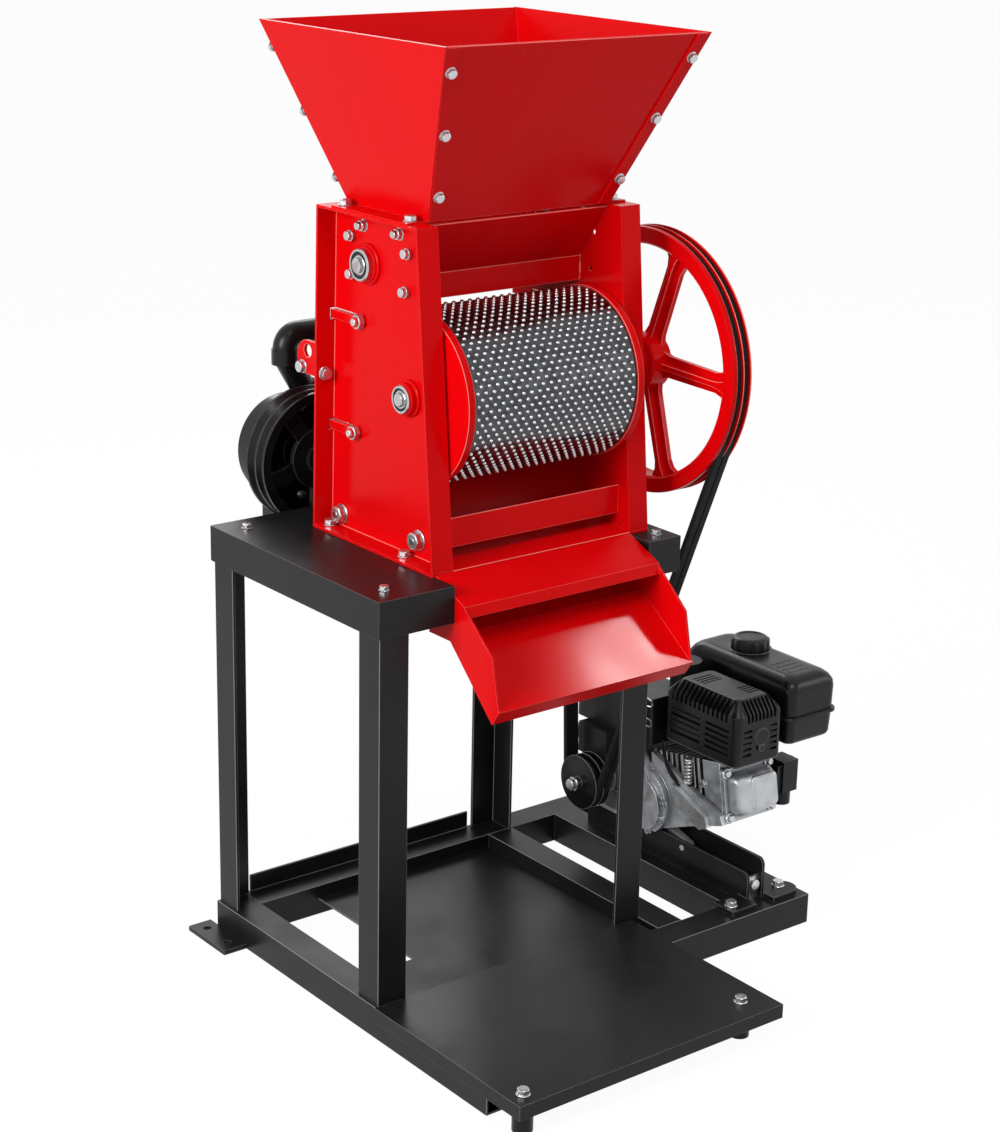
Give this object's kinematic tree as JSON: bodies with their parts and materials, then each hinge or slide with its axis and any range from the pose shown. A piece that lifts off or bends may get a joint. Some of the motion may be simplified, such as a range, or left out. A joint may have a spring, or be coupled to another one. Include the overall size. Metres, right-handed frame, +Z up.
{
  "type": "coffee pulper",
  "caption": "Engine-driven drum coffee pulper: flared hopper over a dimpled drum between flanged plates, spoked belt wheel, chute and angle-iron stand.",
  "frame": {"origin": "on the floor under the middle of the part's footprint", "axes": "+X right along the drum towards the wheel, +Y to the rear, +Z up"},
  "size_m": [0.934, 0.919, 1.413],
  "materials": {
    "red_paint": "gloss red enamel",
    "black_paint": "satin black enamel",
    "black_iron": "painted black casting",
    "zinc": "bright zinc plate",
    "bare_steel": "bare sheet and bar",
    "cast_alloy": "as cast",
    "black_plastic": "moulded",
    "red_plastic": "moulded",
    "belt_rubber": "moulded"
  },
  "bodies": {
    "frame": {"table_top": "black_paint", "legs": "black_paint", "base_left": "black_paint", "base_right": "black_paint", "base_rear": "black_paint", "base_front": "black_paint", "floor_pan": "black_paint", "platform": "black_paint", "stand_bolts": "zinc", "anchor_plate": "black_paint", "engine_beams": "black_paint", "engine_rails": "black_paint", "belt_tensioner": "zinc", "side_plate_left": "red_paint", "side_plate_right": "red_paint", "tie_rods": "zinc", "head_bolts": "zinc", "throat_front": "red_paint", "throat_back": "red_paint", "apron_bar": "red_paint", "bean_floor": "red_paint", "chute": "red_paint", "hopper_front": "red_paint", "hopper_back": "red_paint", "hopper_left": "red_paint", "hopper_right": "red_paint", "hopper_bolts": "zinc", "rear_lug": "red_paint", "bearings": "bare_steel", "feed_chain": "bare_steel", "drive_belts": "belt_rubber", "pump_body": "black_iron", "outlet_elbow": "black_iron", "pump_bracket": "black_paint", "crankcase": "cast_alloy", "side_cover": "cast_alloy", "cylinder": "cast_alloy", "valve_cover": "cast_alloy", "muffler": "black_paint", "fuel_tank": "black_paint", "air_cleaner": "black_plastic", "carburettor": "cast_alloy", "recoil_cover": "black_paint"},
    "drum": {"drum_shaft": "zinc", "drum_discs": "red_paint", "drum_sleeve": "bare_steel", "drum_wheel": "red_paint", "drum_sprocket": "bare_steel"},
    "feed": {"feed_roller": "bare_steel", "feed_sprocket": "bare_steel"},
    "engine_rotor": {"crankshaft": "zinc", "engine_pulley": "black_iron"},
    "breast_plate": {"breast": "red_paint", "breast_nuts": "zinc"},
    "pump_rotor": {"pump_pulley": "black_iron"},
    "throttle": {"throttle_lever": "bare_steel"},
    "choke": {"choke_lever": "bare_steel"},
    "tank_cap": {"fuel_cap": "black_plastic"},
    "switch": {"stop_switch": "red_plastic"},
    "starter_handle": {"recoil_handle": "black_plastic"}
  },
  "joints": [
    {"name": "drum_spin", "type": "hinge", "parent": "frame", "child": "drum", "pos_m": [-0.102, 0.0305, 0.905], "axis": [1, 0, 0], "continuous": true},
    {"name": "feed_spin", "type": "hinge", "parent": "frame", "child": "feed", "pos_m": [-0.102, 0.1335, 1.081], "axis": [1, 0, 0], "continuous": true},
    {"name": "crank_spin", "type": "hinge", "parent": "frame", "child": "engine_rotor", "pos_m": [0.253, 0.1525, 0.163], "axis": [1, 0, 0], "continuous": true},
    {"name": "pump_spin", "type": "hinge", "parent": "frame", "child": "pump_rotor", "pos_m": [-0.209, 0.3715, 0.735], "axis": [0, 1, 0], "continuous": true},
    {"name": "breast_slide", "type": "slide", "parent": "frame", "child": "breast_plate", "axis": [0, 1, 0], "range_m": [0, 0.015]},
    {"name": "throttle_turn", "type": "hinge", "parent": "frame", "child": "throttle", "pos_m": [0.337, 0.1525, 0.261], "axis": [1, 0, 0], "range_deg": [-35, 35]},
    {"name": "choke_turn", "type": "hinge", "parent": "frame", "child": "choke", "pos_m": [0.409, -0.1025, 0.232], "axis": [1, 0, 0], "range_deg": [-60, 0]},
    {"name": "cap_turn", "type": "hinge", "parent": "frame", "child": "tank_cap", "pos_m": [0.417, 0.0135, 0.404], "axis": [0, 0, 1], "range_deg": [0, 90]},
    {"name": "switch_turn", "type": "hinge", "parent": "frame", "child": "switch", "pos_m": [0.401, 0.0445, 0.233], "axis": [0, 1, 0], "range_deg": [0, 60]},
    {"name": "starter_pull", "type": "slide", "parent": "frame", "child": "starter_handle", "axis": [0, 0, 1], "range_m": [0, 0.35]}
  ],
  "couplings": [
    {"joint": "feed_spin", "follows": "drum_spin", "ratio": 0.71429},
    {"joint": "crank_spin", "follows": "drum_spin", "ratio": 5.0256}
  ]
}
